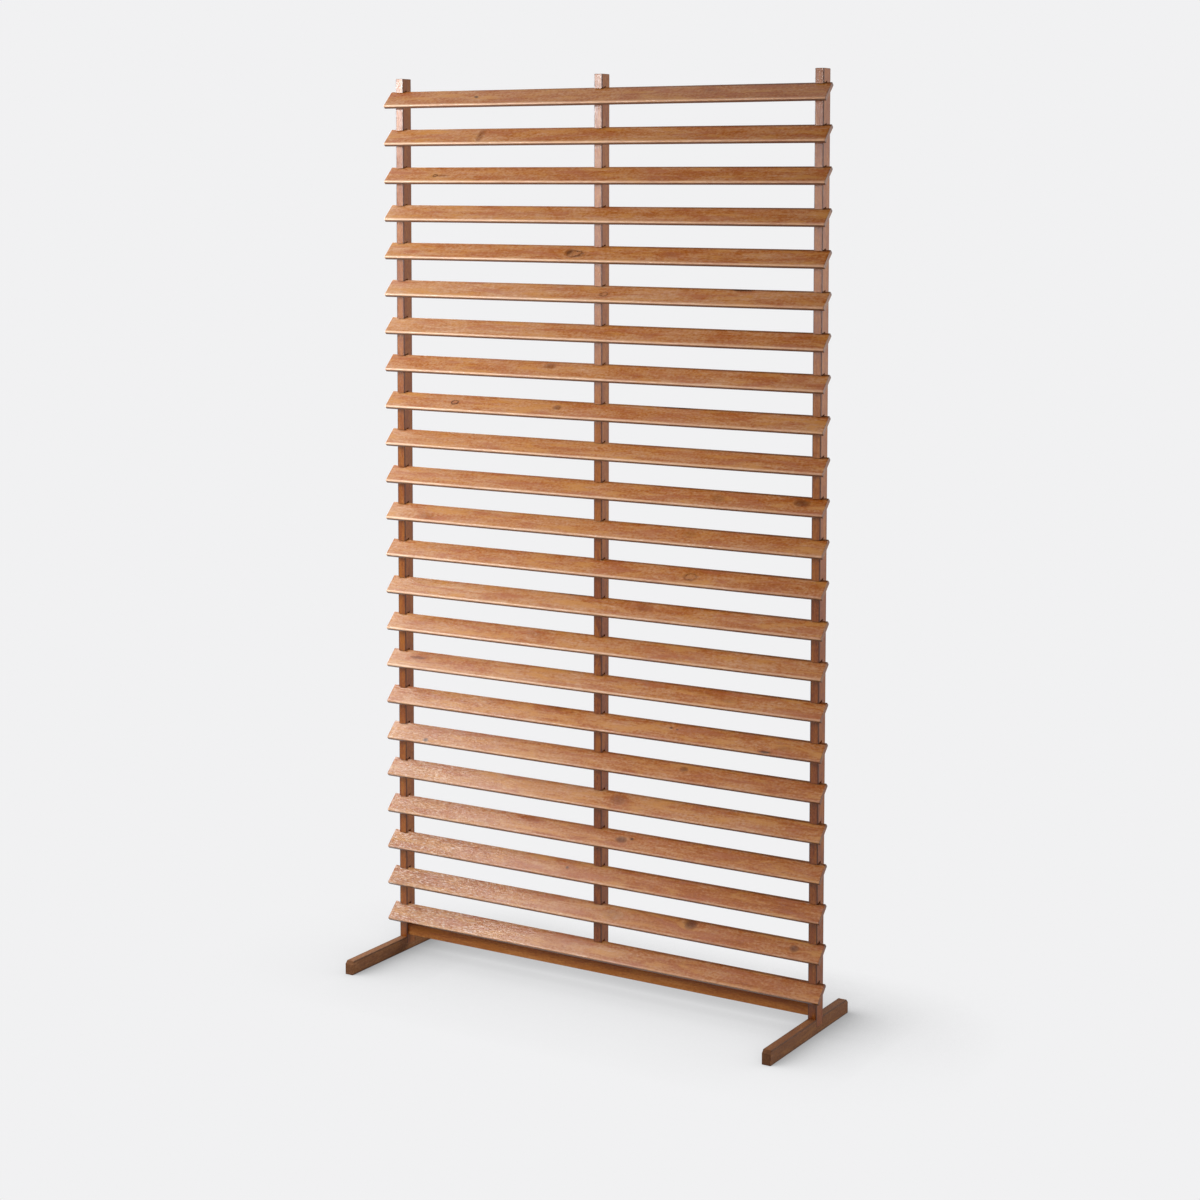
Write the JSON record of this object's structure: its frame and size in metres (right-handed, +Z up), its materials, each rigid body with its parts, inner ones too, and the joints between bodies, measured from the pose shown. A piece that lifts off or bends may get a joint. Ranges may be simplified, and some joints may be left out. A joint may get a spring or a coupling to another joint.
{
  "type": "free-standing louvred garden screen",
  "caption": "Tall free-standing wooden screen of sloping horizontal slats notched into slim uprights, with a bottom rail and front-to-back feet.",
  "frame": {"origin": "on the ground, in the middle of the screen's width and of the feet's length", "axes": "+Z up the screen, +X along the slats to the viewer's right, +Y to the back, away from the slats' lower edges"},
  "size_m": [0.986, 0.325, 1.795],
  "materials": {
    "slat_wood": "satin oiled hardwood",
    "frame_wood": "satin oiled hardwood",
    "fixing_steel": "zinc-plated steel"
  },
  "bodies": {
    "root": {"slat_01": "slat_wood", "slat_02": "slat_wood", "slat_03": "slat_wood", "slat_04": "slat_wood", "slat_05": "slat_wood", "slat_06": "slat_wood", "slat_07": "slat_wood", "slat_08": "slat_wood", "slat_09": "slat_wood", "slat_10": "slat_wood", "slat_11": "slat_wood", "slat_12": "slat_wood", "slat_13": "slat_wood", "slat_14": "slat_wood", "slat_15": "slat_wood", "slat_16": "slat_wood", "slat_17": "slat_wood", "slat_18": "slat_wood", "slat_19": "slat_wood", "slat_20": "slat_wood", "slat_21": "slat_wood", "slat_22": "slat_wood", "slat_23": "slat_wood", "left_post": "frame_wood", "centre_post": "frame_wood", "right_post": "frame_wood", "bottom_rail": "frame_wood", "left_foot": "frame_wood", "right_foot": "frame_wood", "left_slat_screws": "fixing_steel", "centre_slat_screws": "fixing_steel", "right_slat_screws": "fixing_steel", "centre_post_screw": "fixing_steel", "left_foot_bolt": "fixing_steel", "right_foot_bolt": "fixing_steel", "left_foot_washer": "fixing_steel", "right_foot_washer": "fixing_steel", "left_barrel_nut": "fixing_steel", "right_barrel_nut": "fixing_steel"}
  },
  "joints": []
}
